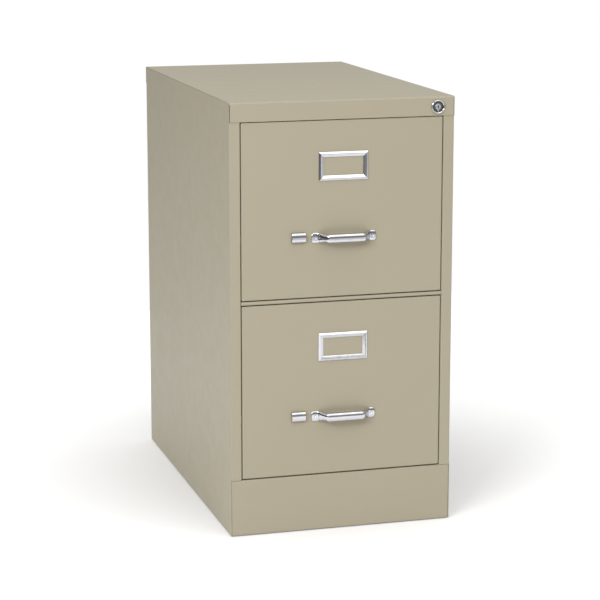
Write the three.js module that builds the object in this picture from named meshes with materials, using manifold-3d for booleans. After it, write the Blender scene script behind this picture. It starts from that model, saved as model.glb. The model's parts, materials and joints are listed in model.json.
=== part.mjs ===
// A two-drawer vertical filing cabinet of folded sheet steel, in millimetres, +Z up.
// The front faces -Y and the lock is on the +X side. The origin is on the floor, under the
// middle of the whole object with its pulls.
import * as THREE from "three";
import { mergeVertices } from "three/addons/utils/BufferGeometryUtils.js";
import Module from "manifold-3d";

const wasm = await Module();
wasm.setup();

// ---------- driving dimensions ----------
const CASE_WIDTH = 381;
const CASE_DEPTH = 635; // from the front sheet to the rear lip of the top panel
const CASE_HEIGHT = 720.7;
const PULL_REACH = 20; // how far a pull stands in front of the case
const SHEET = 0.8; // thickness of the case and drawer steel
const RAIL_SHEET = 1.2;
const GAP = 0.3; // between pieces that touch
const BEND = 1.6; // centre-line radius of a fold
const CAP_BEND = 2.4; // the softer folds of the top panel
const BEND_STEPS = 3;

// ---------- places worked out from them ----------
const HALF = CASE_WIDTH / 2;
const FRONT = (PULL_REACH - CASE_DEPTH) / 2; // outer face of the stiles and drawer faces
const REAR = FRONT + CASE_DEPTH; // outer face of the top panel's rear lip
const NEST = SHEET + GAP; // step from one sheet to the next one behind it
const CAP_FRONT = FRONT - NEST; // outer face of the top panel's front lip
const CASE_BOTTOM = 1.5;
const SIDE_TOP = CASE_HEIGHT - NEST;
const CAP_BOTTOM = CASE_HEIGHT - 31.5;
const REAR_LIP_BOTTOM = CASE_HEIGHT - 30;
const CORNER_SLIT = 0.8; // between a side sheet and the end of the top panel's front lip
const BASE_TOP = 96;
const BASE_FLANGE = 18; // how far the base panel's ends and foot fold back
const SIDE_REAR_FLANGE = 15;
const BACK_FOOT = 18; // how far the back panel's foot folds forward
const CAP_FLANGE = 18; // height of the flanges that nest inside the side sheets
const CAP_HEM = 9; // how far the front lip's lower edge folds back

// Drawer openings, faces and the rail between them
const OPENING_HALF = 172;
const STILE_RETURN = 10; // how far the stile's inner edge folds back
const FACE_HALF = OPENING_HALF - 1.3;
const FACE_HEIGHT = 290.4;
const FACE_DEPTH = 18;
const FACE_BOTTOMS = { lower: 98, upper: 397.6 };
const CROSS_RAIL_BOTTOM = 390;
const CROSS_RAIL_TOP = 396;
const CROSS_RAIL_DEPTH = 24;
const FACE_EDGE = 1.8; // rounding of a face's edges

// Tray, all heights from the bottom edge of the drawer face
const TRAY_HALF = 157;
const TRAY_REAR = FRONT + 603.5;
const TRAY_BOTTOM = 9;
const TRAY_TOP = 247;
const TRAY_ROLL = 7;
const TRAY_ROLL_DROP = 9;
const TRAY_BACK_FLANGE = 14;
const TRAY_BACK_TOP = 165;

// Roller suspension, heights from the bottom edge of the drawer face
const RUNWAY = 60; // upper surface of the case rail's lower flange
const RUNWAY_HEIGHT = 21;
const CASE_RAIL_FRONT = FRONT + 22;
const CASE_RAIL_REAR = REAR - 25;
const CASE_RAIL_FACE = OPENING_HALF - GAP; // the side that bears on the uprights
const RAIL_FLANGE = 10.5;
const CASE_ROLLER_Y = FRONT + 30;
const CASE_ROLLER_RADIUS = 8;
const CASE_ROLLER_Z = RUNWAY + CASE_ROLLER_RADIUS + 0.6;
const DRAWER_ROLLER_Y = FRONT + 521.5;
const DRAWER_ROLLER_RADIUS = 10;
const DRAWER_ROLLER_Z = RUNWAY + DRAWER_ROLLER_RADIUS + GAP;
const DRAWER_TRAVEL = 460;
const ROLLER_WIDTH = 7.5;
const ROLLER_SIDES = 20;
const AXLE_RADIUS = 3;
const RAIL_BEND = 1.2;
const RAIL_STOP_HEIGHT = 5; // the stop that holds an open drawer by its rollers
const RAIL_STOP_DEPTH = 2.5;

// Fittings on a drawer face, heights from the bottom edge of the face
const PULL_X = 1.5;
const PULL_Z = 99;
const PULL_LENGTH = 109;
const PULL_ARM_START = 32; // where an arm leaves the line of the grip, from the middle
const PULL_ARM_END = 44; // where it meets the line of the foot
const PULL_GRIP_LENGTH = 54;
const PULL_GRIP_DEPTH = 6;
const PULL_STRAP = 3.2; // thickness of the arms and feet
const PULL_BEND = 6; // outer radius where the strap turns
const PULL_GRIP_HEIGHT = 15;
const PULL_FOOT_HEIGHT = 19;
const LABEL_X = 0.8;
const LABEL_Z = 215.5;
const LABEL_WIDTH = 84;
const LABEL_HEIGHT = 47;
const LABEL_WINDOW_WIDTH = 67;
const LABEL_WINDOW_HEIGHT = 30;
const LABEL_THICKNESS = 3.2;
const LABEL_EDGE = 1.6;
const LABEL_TAB_INSET = 3.4; // from the holder's end to the tab that is clinched behind the face
const LABEL_TAB_THICKNESS = 0.8;
const LABEL_TAB_HEIGHT = 8;
const TAB_SLACK = 0.4;
const LATCH_X = -75.75;
const LATCH_Z = 100.5;
const LATCH_TRAVEL = 7;
const BUTTON_WIDTH = 23.5;
const BUTTON_HEIGHT = 17;
const BUTTON_REACH = 7;
const STEM_WIDTH = 8;
const STEM_HEIGHT = 5.6;
const STEM_SLACK = 0.6;
const THUMB_RIVET_WIDTH = 4;
const SLIDE_Y = FRONT + 6; // middle of the latch slide's thickness
const SLIDE_THICKNESS = 2;
const SLIDE_HEIGHT = 12;
const SPRING_LENGTH = 18;
const SPRING_RADIUS = 3.6;
const SPRING_WIRE_RADIUS = 0.5;
const SPRING_TURNS = 5;
const SPRING_SEAT = 1.6;

// Lock
const LOCK_X = 161.5;
const LOCK_Z = 704;
const LOCK_RING_RADIUS = 11.5;
const LOCK_BARREL_RADIUS = 9.7;
const LOCK_BORE_RADIUS = 8.8;
const LOCK_PLUG_RADIUS = 8.5;
const LOCK_RING_PROUD = 3; // how far the ring stands in front of the cap
const LOCK_PLUG_PROUD = 2.4;
const LOCK_REAR = FRONT + 16; // back end of the barrel and of the plug
const LOCK_KEYWAY_WIDTH = 1.8;
const LOCK_KEYWAY_HEIGHT = 7;
const LOCK_KEYWAY_DEPTH = 8;
const LOCK_TANG_HALF = 3; // the square on the plug's end that turns the cam
const CAM_Y0 = LOCK_REAR + 1;
const CAM_Y1 = LOCK_REAR + 3;
const CAM_HUB_RADIUS = 6.5;
const CAM_TIP_RADIUS = 3.5;
const CAM_THROW = 8.5; // radius at which the cam's pin drives the lock bar
const CAM_PIN_RADIUS = 2;
const BAR_X0 = 174;
const BAR_X1 = 182;
const BAR_Y0 = FRONT + 24;
const BAR_Y1 = FRONT + 27;
const BAR_BOTTOM = 150;
const BAR_SLACK = 0.6;
const BAR_GUIDES = [BAR_BOTTOM + 4, 350, 640]; // heights of the lock bar's guides
const GUIDE_HALF = 6;
const CATCH_Z = 200; // middle of a drawer's catch, from the bottom edge of its face
const CATCH_HEIGHT = 12;
const HOOK_HEIGHT = 8;
const HOOK_CLEARANCE = 1.2; // below the catches while the lock is open
const BAR_ARM_HALF = 6;

// Uprights, glides and their brackets
const UPRIGHT_DEPTH = 30;
const UPRIGHT_YS = { front: FRONT + 34, rear: REAR - 30 - UPRIGHT_DEPTH };
const UPRIGHT_BOTTOM = 18;
const UPRIGHT_TOP = 694;
const GLIDE_X = 158;
const GLIDE_YS = { front: FRONT + 40, rear: REAR - 48 };
const BRACKET_Z = 9;
const BRACKET_SHEET = 1.6;
const BRACKET_DEPTH = 40;
const BRACKET_REACH = 22; // from the glide's axis inwards
const NUT_RADIUS = 8;
const NUT_HEIGHT = 8;
const GLIDE_STEM_RADIUS = 4;
const GLIDE_TOP = 34;

// ---------- materials ----------
const finish = (color, roughness, metalness) => () =>
  new THREE.MeshStandardMaterial({ color, roughness, metalness });
const PAINT = finish(0xb6ae99, 0.55, 0.1);
const CHROME = finish(0xd4d5d8, 0.18, 1);
const ZINC = finish(0x9fa2a4, 0.4, 0.9);
const NYLON = finish(0xe6e3da, 0.5, 0);
const DARK_METAL = finish(0x4b4a48, 0.35, 0.9);
const GLIDE_METAL = finish(0x8c8c8c, 0.45, 0.9);

// ---------- shapes ----------
function toSolid(geometry) {
  const bare = geometry.clone();
  bare.deleteAttribute("normal");
  bare.deleteAttribute("uv");
  const merged = mergeVertices(bare, 1e-4);
  const mesh = new wasm.Mesh({
    numProp: 3,
    vertProperties: merged.attributes.position.array,
    triVerts: new Uint32Array(merged.index.array),
  });
  return new wasm.Manifold(mesh);
}

function toGeometry(solid) {
  const mesh = solid.getMesh();
  const geometry = new THREE.BufferGeometry();
  geometry.setAttribute("position", new THREE.BufferAttribute(mesh.vertProperties, 3));
  geometry.setIndex(new THREE.BufferAttribute(mesh.triVerts, 1));
  geometry.computeVertexNormals();
  return geometry;
}

const join = (first, ...others) =>
  toGeometry(others.reduce((sum, other) => sum.add(toSolid(other)), toSolid(first)));

const cut = (first, ...tools) =>
  toGeometry(tools.reduce((rest, tool) => rest.subtract(toSolid(tool)), toSolid(first)));

const overlap = (first, second) => toGeometry(toSolid(first).intersect(toSolid(second)));

function box(x0, x1, y0, y1, z0, z1) {
  const geometry = new THREE.BoxGeometry(x1 - x0, y1 - y0, z1 - z0);
  return geometry.translate((x0 + x1) / 2, (y0 + y1) / 2, (z0 + z1) / 2);
}

const cylinderX = (radius, x0, x1, y, z, sides = 16) =>
  new THREE.CylinderGeometry(radius, radius, x1 - x0, sides)
    .rotateZ(Math.PI / 2)
    .translate((x0 + x1) / 2, y, z);

const cylinderY = (radius, x, y0, y1, z, sides = 24) =>
  new THREE.CylinderGeometry(radius, radius, y1 - y0, sides).translate(x, (y0 + y1) / 2, z);

const cylinderZ = (radius, x, y, z0, z1, sides = 24) =>
  new THREE.CylinderGeometry(radius, radius, z1 - z0, sides)
    .rotateX(Math.PI / 2)
    .translate(x, y, (z0 + z1) / 2);

const extrude = (shape, depth, options = {}) =>
  new THREE.ExtrudeGeometry(shape, { depth, bevelEnabled: false, curveSegments: 4, ...options });

// An outline in (X, Y) drawn up along Z, one in (Y, Z) along X, and one in (X, Z) along Y.
const alongZ = (shape, z0, z1) => extrude(shape, z1 - z0).translate(0, 0, z0);

function alongX(shape, x0, x1) {
  const turn = new THREE.Matrix4().makeBasis(
    new THREE.Vector3(0, 1, 0),
    new THREE.Vector3(0, 0, 1),
    new THREE.Vector3(1, 0, 0),
  );
  return extrude(shape, x1 - x0).applyMatrix4(turn).translate(x0, 0, 0);
}

function alongY(shape, y0, y1, options = {}) {
  const turn = new THREE.Matrix4().makeBasis(
    new THREE.Vector3(1, 0, 0),
    new THREE.Vector3(0, 0, 1),
    new THREE.Vector3(0, -1, 0),
  );
  return extrude(shape, y1 - y0, options).applyMatrix4(turn).translate(0, y1, 0);
}

// The section of a folded sheet: a centre line with round folds, thickened to both sides.
function foldedSheet(corners, thickness = SHEET, radius = BEND) {
  const line = corners.map(([u, v]) => new THREE.Vector2(u, v));
  const middle = [];
  line.forEach((corner, i) => {
    if (i === 0 || i === line.length - 1) {
      middle.push(corner);
      return;
    }
    const back = line[i - 1].clone().sub(corner).normalize();
    const on = line[i + 1].clone().sub(corner).normalize();
    const halfAngle = Math.acos(THREE.MathUtils.clamp(back.dot(on), -1, 1)) / 2;
    const centre = corner.clone().add(
      back.clone().add(on).normalize().multiplyScalar(radius / Math.sin(halfAngle)),
    );
    const start = corner.clone().addScaledVector(back, radius / Math.tan(halfAngle)).sub(centre);
    const end = corner.clone().addScaledVector(on, radius / Math.tan(halfAngle)).sub(centre);
    const sweep = Math.atan2(start.cross(end), start.dot(end));
    for (let k = 0; k <= BEND_STEPS; k += 1) {
      middle.push(start.clone().rotateAround(new THREE.Vector2(), (sweep * k) / BEND_STEPS).add(centre));
    }
  });
  const side = (sign) =>
    middle.map((point, i) => {
      const into = point.clone().sub(middle[i - 1] ?? point);
      const out = (middle[i + 1] ?? point).clone().sub(point);
      const forward = into.normalize().clone().add(out.normalize()).normalize();
      const mitre = Math.max(into.dot(forward), out.dot(forward));
      const normal = new THREE.Vector2(-forward.y, forward.x);
      return point.clone().addScaledVector(normal, (sign * thickness) / (2 * mitre));
    });
  return new THREE.Shape([...side(1), ...side(-1).reverse()]);
}

function roundedRectangle(x0, x1, z0, z1, radius) {
  const shape = new THREE.Shape();
  shape.absarc(x1 - radius, z0 + radius, radius, -Math.PI / 2, 0, false);
  shape.absarc(x1 - radius, z1 - radius, radius, 0, Math.PI / 2, false);
  shape.absarc(x0 + radius, z1 - radius, radius, Math.PI / 2, Math.PI, false);
  shape.absarc(x0 + radius, z0 + radius, radius, Math.PI, (3 * Math.PI) / 2, false);
  shape.closePath();
  return shape;
}

// A block in front of the plane y1 whose front edges and upright corners are round.
function roundedBlock(x0, x1, y0, y1, z0, z1, radius) {
  const outline = roundedRectangle(x0 + radius, x1 - radius, z0 + radius, z1 - radius, 0.2);
  const bevel = { bevelEnabled: true, bevelSize: radius, bevelThickness: radius, bevelSegments: 3 };
  const whole = alongY(outline, y0 + radius, y1 + radius, { ...bevel, curveSegments: 3 });
  return cut(whole, box(x0 - 1, x1 + 1, y1, y1 + 3 * radius, z0 - 1, z1 + 1));
}

// ---------- scene graph helpers ----------
const cabinet = new THREE.Group();

function add(group, name, geometry, material) {
  const mesh = new THREE.Mesh(geometry, material());
  mesh.name = name;
  group.add(mesh);
  return mesh;
}

// Each hand of a mirrored pair is drawn for the right side.
const HANDS = { left: -1, right: 1 };

function addPair(group, name, geometry, material) {
  for (const [hand, sign] of Object.entries(HANDS)) {
    add(group, `${name}_${hand}`, geometry, material).scale.x = sign;
  }
}

// ---------- case ----------
// The stile is folded from the side sheet. Above and below it the fold is cut away, and the
// flat sheet runs on to the front beside the top panel's lip and the base panel.
function sidePanel(withStrikes) {
  const middle = SHEET / 2;
  const rearY = REAR - NEST - middle;
  const section = foldedSheet([
    [OPENING_HALF + middle, FRONT + STILE_RETURN],
    [OPENING_HALF + middle, FRONT + middle],
    [HALF - middle, FRONT + middle],
    [HALF - middle, rearY],
    [HALF - SIDE_REAR_FLANGE, rearY],
  ]);
  const inner = OPENING_HALF - 1;
  const foldDepth = BEND + SHEET;
  const baseNotch = box(inner, HALF + 1, FRONT - 1, FRONT + STILE_RETURN + 1, 0, BASE_TOP + GAP);
  const lipNotch = box(HALF - 2 * BEND, HALF + 1, FRONT - 1, FRONT + foldDepth, CAP_BOTTOM, SIDE_TOP);
  const strikes = Object.values(FACE_BOTTOMS).map((bottom) => {
    const z = bottom + LATCH_Z;
    const half = SLIDE_HEIGHT / 2 + 1;
    return box(inner, OPENING_HALF + 1.5, SLIDE_Y - 2, SLIDE_Y + 2, z - half, z + half);
  });
  const underCap = alongX(topSection(SHEET + 2 * GAP), inner, HALF + 1);
  const tools = [baseNotch, lipNotch, underCap, ...(withStrikes ? strikes : [])];
  const folded = cut(alongZ(section, CASE_BOTTOM, SIDE_TOP), ...tools);
  const edge = (y0, z0, z1) => box(HALF - SHEET, HALF, y0, FRONT + STILE_RETURN + 2, z0, z1);
  const besideBase = edge(FRONT + middle, CASE_BOTTOM, BASE_TOP + GAP);
  const besideLip = edge(FRONT - middle, CAP_BOTTOM, CASE_HEIGHT - CAP_BEND - SHEET - GAP);
  return join(folded, besideBase, besideLip);
}

// The top sheet and its two lips, in (Y, Z); a thicker one leaves room round it.
function topSection(thickness) {
  const middle = SHEET / 2;
  const path = [
    [REAR - middle, REAR_LIP_BOTTOM],
    [REAR - middle, CASE_HEIGHT - middle],
    [CAP_FRONT + middle, CASE_HEIGHT - middle],
    [CAP_FRONT + middle, CAP_BOTTOM],
  ];
  return foldedSheet(path, thickness, CAP_BEND);
}

function topPanel() {
  const middle = SHEET / 2;
  const section = topSection(SHEET);
  const hemHalf = OPENING_HALF - GAP;
  const hem = box(-hemHalf, hemHalf, CAP_FRONT + middle, FRONT + CAP_HEM, CAP_BOTTOM, CAP_BOTTOM + SHEET);
  const flangeX = HALF - NEST - SHEET;
  const flange = (x) =>
    box(x, x + SHEET, FRONT + 14, REAR - 20, SIDE_TOP - CAP_FLANGE, CASE_HEIGHT - middle);
  const hole = cylinderY(LOCK_BARREL_RADIUS + GAP, LOCK_X, CAP_FRONT - 1, FRONT + 1, LOCK_Z);
  const whole = join(alongX(section, -HALF, HALF), hem, flange(flangeX), flange(-flangeX - SHEET));
  const lipEnd = HALF - SHEET - CORNER_SLIT;
  const lipTop = CASE_HEIGHT - CAP_BEND - SHEET;
  const slit = (x0, x1) => box(x0, x1, CAP_FRONT - 1, FRONT + 1, CAP_BOTTOM - 1, lipTop);
  return cut(whole, hole, slit(lipEnd, HALF + 1), slit(-HALF - 1, -lipEnd));
}

function backPanel() {
  const y = REAR - 2 * NEST - SHEET / 2;
  const section = foldedSheet([
    [y, SIDE_TOP - 4],
    [y, CASE_BOTTOM + SHEET / 2],
    [y - BACK_FOOT, CASE_BOTTOM + SHEET / 2],
  ]);
  const width = HALF - SHEET - BEND;
  return alongX(section, -width, width);
}

// Fits between the side sheets, with its top, foot and ends folded back.
function basePanel() {
  const edge = HALF - SHEET - GAP;
  const middle = SHEET / 2;
  const section = foldedSheet([
    [FRONT + STILE_RETURN, BASE_TOP - middle],
    [FRONT + middle, BASE_TOP - middle],
    [FRONT + middle, CASE_BOTTOM + middle],
    [FRONT + BASE_FLANGE, CASE_BOTTOM + middle],
  ]);
  const ends = [-edge, edge - SHEET].map((x) =>
    box(x, x + SHEET, FRONT + BEND, FRONT + BASE_FLANGE, CASE_BOTTOM + middle, BASE_TOP - middle),
  );
  const rounded = roundedRectangle(-edge, edge, FRONT, FRONT + 2 * BASE_FLANGE, BEND);
  return overlap(join(alongX(section, -edge, edge), ...ends), alongZ(rounded, 0, BASE_TOP + 1));
}

function crossRail() {
  const middle = SHEET / 2;
  const section = foldedSheet([
    [FRONT + CROSS_RAIL_DEPTH, CROSS_RAIL_TOP - middle],
    [FRONT + middle, CROSS_RAIL_TOP - middle],
    [FRONT + middle, CROSS_RAIL_BOTTOM + middle],
    [FRONT + CROSS_RAIL_DEPTH, CROSS_RAIL_BOTTOM + middle],
  ]);
  return alongX(section, GAP - OPENING_HALF, OPENING_HALF - GAP);
}

function upright(y0) {
  const outer = HALF - SHEET - 2 * GAP;
  const section = foldedSheet([
    [outer, y0],
    [OPENING_HALF + SHEET / 2, y0],
    [OPENING_HALF + SHEET / 2, y0 + UPRIGHT_DEPTH],
    [outer, y0 + UPRIGHT_DEPTH],
  ]);
  return alongZ(section, UPRIGHT_BOTTOM, UPRIGHT_TOP);
}

// The right front upright also carries the guides and the lower stop of the lock bar.
function lockUpright() {
  const y0 = UPRIGHT_YS.front;
  const passage = box(
    BAR_X0 - BAR_SLACK,
    BAR_X1 + BAR_SLACK,
    BAR_Y0 - BAR_SLACK,
    BAR_Y1 + BAR_SLACK,
    BAR_BOTTOM - GAP,
    UPRIGHT_TOP,
  );
  const guides = BAR_GUIDES.map((z) =>
    box(OPENING_HALF + 0.2, BAR_X1 + 2, BAR_Y0 - 2, y0, z - GUIDE_HALF, z + GUIDE_HALF),
  );
  return join(upright(y0), ...guides.map((guide) => cut(guide, passage)));
}

function glideBracket(y) {
  const wall = HALF - NEST;
  const y0 = y - BRACKET_DEPTH / 2;
  const y1 = y + BRACKET_DEPTH / 2;
  const top = BRACKET_Z + NUT_HEIGHT;
  const plate = box(GLIDE_X - BRACKET_REACH, wall, y0, y1, BRACKET_Z, BRACKET_Z + BRACKET_SHEET);
  const flange = box(wall - BRACKET_SHEET, wall, y0, y1, BRACKET_Z, top);
  const nut = cylinderZ(NUT_RADIUS, GLIDE_X, y, BRACKET_Z, top, 6);
  const hole = cylinderZ(GLIDE_STEM_RADIUS + 0.5, GLIDE_X, y, 0, BRACKET_Z + 20, 16);
  return cut(join(plate, flange, nut), hole);
}

function glide(x, y) {
  const foot = new THREE.LatheGeometry(
    [
      [0, 0],
      [13, 0],
      [14, 1],
      [14, 3.5],
      [12, 5.5],
      [0, 5.5],
    ].map(([r, h]) => new THREE.Vector2(r, h)),
    20,
  );
  foot.rotateX(Math.PI / 2).translate(x, y, 0);
  return join(foot, cylinderZ(GLIDE_STEM_RADIUS, x, y, 5, GLIDE_TOP, 12));
}

function addCase() {
  add(cabinet, "side_panel_right", sidePanel(false), PAINT);
  add(cabinet, "side_panel_left", sidePanel(true), PAINT).scale.x = -1;
  add(cabinet, "top_panel", topPanel(), PAINT);
  add(cabinet, "back_panel", backPanel(), PAINT);
  add(cabinet, "base_front_panel", basePanel(), PAINT);
  add(cabinet, "cross_rail", crossRail(), PAINT);
  addPair(cabinet, "upright_rear", upright(UPRIGHT_YS.rear), PAINT);
  add(cabinet, "upright_front_left", upright(UPRIGHT_YS.front), PAINT).scale.x = -1;
  add(cabinet, "upright_front_right", lockUpright(), PAINT);
  for (const [end, y] of Object.entries(GLIDE_YS)) {
    addPair(cabinet, `glide_bracket_${end}`, glideBracket(y), PAINT);
    for (const [hand, sign] of Object.entries(HANDS)) {
      add(cabinet, `glide_${end}_${hand}`, glide(sign * GLIDE_X, y), GLIDE_METAL);
    }
  }
}

// ---------- roller suspension, drawn for the right side ----------
function caseRail() {
  const middle = RAIL_SHEET / 2;
  const web = CASE_RAIL_FACE - middle;
  const tip = CASE_RAIL_FACE - RAIL_FLANGE;
  const section = foldedSheet(
    [
      [tip, RUNWAY + RUNWAY_HEIGHT + middle],
      [web, RUNWAY + RUNWAY_HEIGHT + middle],
      [web, RUNWAY - middle],
      [tip, RUNWAY - middle],
    ],
    RAIL_SHEET,
    RAIL_BEND,
  );
  const axle = cylinderX(AXLE_RADIUS, tip - 0.2, web, CASE_ROLLER_Y, CASE_ROLLER_Z, 12);
  const reach = Math.sqrt(
    DRAWER_ROLLER_RADIUS ** 2 - (DRAWER_ROLLER_RADIUS - RAIL_STOP_HEIGHT) ** 2,
  );
  const stopY = DRAWER_ROLLER_Y - DRAWER_TRAVEL - reach - 1;
  const stopTop = RUNWAY + RAIL_STOP_HEIGHT;
  const stop = box(tip + 1, web - 2, stopY - RAIL_STOP_DEPTH, stopY, RUNWAY - middle, stopTop);
  return join(alongY(section, CASE_RAIL_FRONT, CASE_RAIL_REAR), axle, stop);
}

function drawerRail() {
  const middle = RAIL_SHEET / 2;
  const web = TRAY_HALF + GAP + middle;
  const track = CASE_ROLLER_Z + CASE_ROLLER_RADIUS + GAP + middle;
  const section = foldedSheet(
    [
      [CASE_RAIL_FACE - 3.2, track],
      [web, track],
      [web, RUNWAY + 2],
    ],
    RAIL_SHEET,
    RAIL_BEND,
  );
  const end = DRAWER_ROLLER_Y + 8;
  const bar = alongY(section, FRONT + FACE_DEPTH + GAP, end);
  const notchY = DRAWER_ROLLER_Y - DRAWER_ROLLER_RADIUS - 3;
  const notch = box(web + 2, OPENING_HALF, notchY, end + 1, RUNWAY, RUNWAY + RUNWAY_HEIGHT);
  const axle = cylinderX(AXLE_RADIUS, web, CASE_RAIL_FACE - 2.6, DRAWER_ROLLER_Y, DRAWER_ROLLER_Z, 12);
  return join(cut(bar, notch), axle);
}

function roller(radius, x0, y, z) {
  const x1 = x0 + ROLLER_WIDTH;
  const bore = cylinderX(AXLE_RADIUS + GAP, x0 - 1, x1 + 1, y, z, ROLLER_SIDES);
  return cut(cylinderX(radius, x0, x1, y, z, ROLLER_SIDES), bore);
}

// ---------- one drawer, heights from the bottom edge of its face ----------
const labelTabs = (slack, y0, y1) =>
  [-1, 1].map((sign) => {
    const x = LABEL_X + sign * (LABEL_WIDTH / 2 - LABEL_TAB_INSET);
    const halfX = LABEL_TAB_THICKNESS / 2 + slack;
    const halfZ = LABEL_TAB_HEIGHT / 2 + slack;
    return box(x - halfX, x + halfX, y0, y1, LABEL_Z - halfZ, LABEL_Z + halfZ);
  });

function faceShell() {
  const rim = FRONT + FACE_DEPTH;
  const outer = roundedBlock(-FACE_HALF, FACE_HALF, FRONT, rim, 0, FACE_HEIGHT, FACE_EDGE);
  const half = FACE_HALF - SHEET;
  const inner = roundedBlock(-half, half, FRONT + SHEET, rim + 1, SHEET, FACE_HEIGHT - SHEET, 1);
  const z = LATCH_Z;
  const boltHalf = SLIDE_HEIGHT / 2 + STEM_SLACK;
  const boltHole = box(-FACE_HALF - 1, -half + 1, SLIDE_Y - 2, SLIDE_Y + 2, z - boltHalf, z + boltHalf);
  const stemX = STEM_WIDTH / 2 + STEM_SLACK;
  const stemZ = STEM_HEIGHT / 2 + STEM_SLACK;
  const slotEnd = LATCH_X + stemX + LATCH_TRAVEL;
  const buttonSlot = box(LATCH_X - stemX, slotEnd, FRONT - 1, FRONT + 2, z - stemZ, z + stemZ);
  const tabSlots = labelTabs(TAB_SLACK, FRONT - 1, FRONT + 2);
  return cut(outer, inner, boltHole, buttonSlot, ...tabSlots);
}

function faceLiner() {
  const half = FACE_HALF - NEST;
  const top = FACE_HEIGHT - NEST;
  const rim = FRONT + FACE_DEPTH;
  const outer = alongY(roundedRectangle(-half, half, NEST, top, BEND), rim - 8, rim);
  const inner = box(-half + SHEET, half - SHEET, rim - 9, rim - SHEET, NEST + SHEET, top - SHEET);
  const seatX = springEnd() + GAP;
  const seat = box(seatX, seatX + SPRING_SEAT, FRONT + 2, rim - SHEET / 2, LATCH_Z - 6, LATCH_Z + 6);
  return join(cut(outer, inner), seat);
}

function tray() {
  const side = TRAY_HALF - SHEET / 2;
  const roll = side + TRAY_ROLL;
  const section = foldedSheet([
    [-roll, TRAY_TOP - TRAY_ROLL_DROP],
    [-roll, TRAY_TOP],
    [-side, TRAY_TOP],
    [-side, TRAY_BOTTOM],
    [side, TRAY_BOTTOM],
    [side, TRAY_TOP],
    [roll, TRAY_TOP],
    [roll, TRAY_TOP - TRAY_ROLL_DROP],
  ]);
  return alongY(section, FRONT + FACE_DEPTH + GAP, TRAY_REAR);
}

function trayBack() {
  const half = TRAY_HALF - SHEET - BEND;
  const floor = TRAY_BOTTOM + SHEET / 2 + GAP;
  const front = TRAY_REAR - TRAY_BACK_FLANGE;
  const outer = box(-half, half, front, TRAY_REAR, floor, TRAY_BACK_TOP);
  const inside = half - SHEET;
  const inner = box(-inside, inside, front - 1, TRAY_REAR - SHEET, floor + SHEET, TRAY_BACK_TOP + 1);
  return cut(outer, inner);
}

function labelHolder() {
  const rim = FRONT - GAP;
  const windowX = LABEL_WINDOW_WIDTH / 2;
  const windowZ = LABEL_WINDOW_HEIGHT / 2;
  const x = LABEL_X;
  const z = LABEL_Z;
  const outer = roundedBlock(
    x - LABEL_WIDTH / 2,
    x + LABEL_WIDTH / 2,
    rim - LABEL_THICKNESS,
    rim,
    z - LABEL_HEIGHT / 2,
    z + LABEL_HEIGHT / 2,
    LABEL_EDGE,
  );
  const opening = box(x - windowX, x + windowX, FRONT - 9, FRONT, z - windowZ, z + windowZ);
  const cardSlot = box(x - windowX - 2, x + windowX + 2, rim - 1, FRONT, z - windowZ - 2, z + LABEL_HEIGHT);
  return join(cut(outer, opening, cardSlot), ...labelTabs(0, rim - 1, FRONT + 3));
}

// A strap folded into a bow, with a thicker grip in the middle and a disc on each foot.
function pull() {
  const end = PULL_LENGTH / 2;
  const back = -GAP - PULL_STRAP / 2;
  const front = PULL_STRAP / 2 - PULL_REACH;
  const strap = foldedSheet(
    [
      [-end, back],
      [-PULL_ARM_END, back],
      [-PULL_ARM_START, front],
      [PULL_ARM_START, front],
      [PULL_ARM_END, back],
      [end, back],
    ],
    PULL_STRAP,
    PULL_BEND,
  );
  const gripEnd = PULL_GRIP_LENGTH / 2;
  const grip = roundedRectangle(-gripEnd, gripEnd, -PULL_REACH, PULL_GRIP_DEPTH - PULL_REACH, 2);
  const half = PULL_GRIP_HEIGHT / 2;
  const radius = PULL_FOOT_HEIGHT / 2;
  const feet = [-1, 1].map((sign) =>
    cylinderY(radius, sign * (end - radius), back - PULL_STRAP / 2, -GAP, 0, 20),
  );
  const whole = join(alongZ(strap, -half, half), alongZ(grip, -half, half), ...feet);
  return whole.translate(PULL_X, FRONT, PULL_Z);
}

// A bracket behind the liner whose ear stands behind the lock bar's hook.
function lockCatch() {
  const x = TRAY_HALF + 3;
  const bottom = CATCH_Z - CATCH_HEIGHT / 2;
  const top = CATCH_Z + CATCH_HEIGHT / 2;
  const arm = box(x, x + 1.5, FRONT + FACE_DEPTH + GAP, FRONT + 32, bottom, top);
  const ear = box(x, FACE_HALF - 0.7, FRONT + 30.5, FRONT + 32, bottom, top);
  const pad = box(x, FACE_HALF - 2, FRONT + FACE_DEPTH + GAP, FRONT + FACE_DEPTH + 1.8, bottom, top);
  return join(arm, ear, pad);
}

// ---------- thumb latch ----------
const slideEnd = () => LATCH_X + BUTTON_WIDTH / 2;
const springEnd = () => slideEnd() + GAP + SPRING_LENGTH;

const aboutRivet = (slack, y0, y1) => {
  const half = THUMB_RIVET_WIDTH / 2 + slack;
  return box(LATCH_X - half, LATCH_X + half, y0, y1, LATCH_Z - half, LATCH_Z + half);
};

function thumbButton() {
  const halfWidth = BUTTON_WIDTH / 2;
  const halfHeight = BUTTON_HEIGHT / 2;
  const cap = roundedBlock(
    LATCH_X - halfWidth,
    LATCH_X + halfWidth,
    FRONT - BUTTON_REACH,
    FRONT - GAP,
    LATCH_Z - halfHeight,
    LATCH_Z + halfHeight,
    1.5,
  );
  const stemEnd = SLIDE_Y - SLIDE_THICKNESS / 2 - GAP;
  const stemX = STEM_WIDTH / 2;
  const stemZ = STEM_HEIGHT / 2;
  const stem = box(LATCH_X - stemX, LATCH_X + stemX, FRONT - 2, stemEnd, LATCH_Z - stemZ, LATCH_Z + stemZ);
  const rivet = aboutRivet(0, FRONT, SLIDE_Y + 2);
  return join(cap, stem, rivet);
}

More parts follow.
